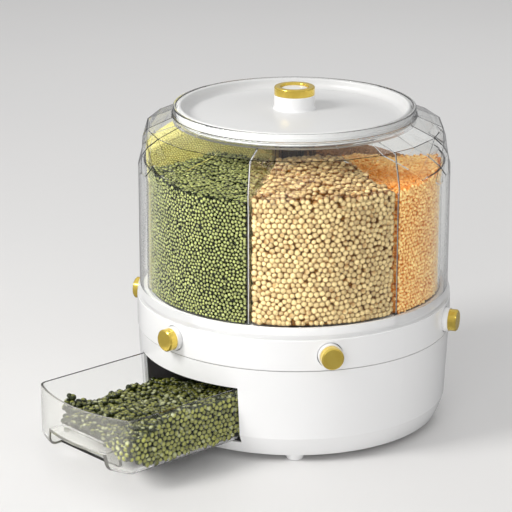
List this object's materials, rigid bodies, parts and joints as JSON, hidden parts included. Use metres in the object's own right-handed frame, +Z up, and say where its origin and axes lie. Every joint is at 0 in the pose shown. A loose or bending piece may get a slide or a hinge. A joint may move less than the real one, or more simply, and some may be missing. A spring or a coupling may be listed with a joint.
{
  "type": "rotating grain canister",
  "caption": "Round turntable grain canister with clear wedge-shaped bins, push buttons that open gates over a clear pull-out cup, and a lift-off lid with a knob.",
  "frame": {"origin": "on the turning axis, at the surface that the canister stands on", "axes": "+Z up along the turning axis; -Y towards the side where the cup slides out"},
  "size_m": [0.27, 0.3905, 0.29],
  "materials": {
    "white_shell": "glossy moulded white",
    "white_inner": "satin moulded white",
    "clear_shell": "clear moulded plastic",
    "gold_trim": "polished gold",
    "dark_liner": "dark satin",
    "rubber_grey": "soft grey",
    "rubber_white": "soft white",
    "steel": "plain steel",
    "bush_plastic": "natural bearing plastic"
  },
  "bodies": {
    "base": {"base_housing": "white_shell", "base_plate": "white_inner", "feet": "rubber_white", "centre_pad": "rubber_grey", "base_screws": "steel", "cup_bay": "dark_liner", "chute": "white_inner", "pivot_post": "steel", "pivot_washer": "steel", "pivot_nut": "steel"},
    "cup": {"cup": "clear_shell"},
    "cage": {"ball_cage": "bush_plastic", "bearing_balls": "steel"},
    "drum": {"drum_ring": "white_shell", "hopper_tray": "white_inner", "drum_plate": "white_inner", "pivot_bush": "bush_plastic", "drum_screws": "steel", "bin_wall": "clear_shell", "column": "clear_shell", "divider_1": "clear_shell", "divider_2": "clear_shell", "divider_3": "clear_shell", "divider_4": "clear_shell", "divider_5": "clear_shell", "divider_6": "clear_shell", "cover": "clear_shell", "collar": "clear_shell"},
    "lid": {"lid": "white_shell", "lid_seal": "rubber_grey", "knob": "white_shell", "knob_ring": "gold_trim", "knob_cap": "white_shell", "knob_screw": "steel"},
    "button_1": {"gate_1": "white_shell", "button_cap_1": "gold_trim", "button_spring_1": "steel"},
    "button_2": {"gate_2": "white_shell", "button_cap_2": "gold_trim", "button_spring_2": "steel"},
    "button_3": {"gate_3": "white_shell", "button_cap_3": "gold_trim", "button_spring_3": "steel"},
    "button_4": {"gate_4": "white_shell", "button_cap_4": "gold_trim", "button_spring_4": "steel"},
    "button_5": {"gate_5": "white_shell", "button_cap_5": "gold_trim", "button_spring_5": "steel"},
    "button_6": {"gate_6": "white_shell", "button_cap_6": "gold_trim", "button_spring_6": "steel"}
  },
  "joints": [
    {"name": "drum_spin", "type": "hinge", "parent": "base", "child": "drum", "pos_m": [0, 0, 0.0845], "axis": [0, 0, 1], "continuous": true},
    {"name": "cage_spin", "type": "hinge", "parent": "base", "child": "cage", "pos_m": [0, 0, 0.0845], "axis": [0, 0, 1], "continuous": true},
    {"name": "cup_slide", "type": "slide", "parent": "base", "child": "cup", "axis": [0, 1, 0], "range_m": [-0.06, 0.111]},
    {"name": "press_1", "type": "slide", "parent": "drum", "child": "button_1", "axis": [0, 1, 0], "range_m": [0, 0.0085], "stiffness_N_per_m": 400, "springref_m": -0.004, "deforming": ["button_spring_1"]},
    {"name": "press_2", "type": "slide", "parent": "drum", "child": "button_2", "axis": [-0.866, 0.5, 0], "range_m": [0, 0.0085], "stiffness_N_per_m": 400, "springref_m": -0.004, "deforming": ["button_spring_2"]},
    {"name": "press_3", "type": "slide", "parent": "drum", "child": "button_3", "axis": [-0.866, -0.5, 0], "range_m": [0, 0.0085], "stiffness_N_per_m": 400, "springref_m": -0.004, "deforming": ["button_spring_3"]},
    {"name": "press_4", "type": "slide", "parent": "drum", "child": "button_4", "axis": [0, -1, 0], "range_m": [0, 0.0085], "stiffness_N_per_m": 400, "springref_m": -0.004, "deforming": ["button_spring_4"]},
    {"name": "press_5", "type": "slide", "parent": "drum", "child": "button_5", "axis": [0.866, -0.5, 0], "range_m": [0, 0.0085], "stiffness_N_per_m": 400, "springref_m": -0.004, "deforming": ["button_spring_5"]},
    {"name": "press_6", "type": "slide", "parent": "drum", "child": "button_6", "axis": [0.866, 0.5, 0], "range_m": [0, 0.0085], "stiffness_N_per_m": 400, "springref_m": -0.004, "deforming": ["button_spring_6"]},
    {"name": "lid_lift", "type": "slide", "parent": "drum", "child": "lid", "axis": [0, 0, 1], "range_m": [0, 0.06]}
  ],
  "couplings": [
    {"joint": "cage_spin", "follows": "drum_spin", "ratio": 0.5}
  ]
}
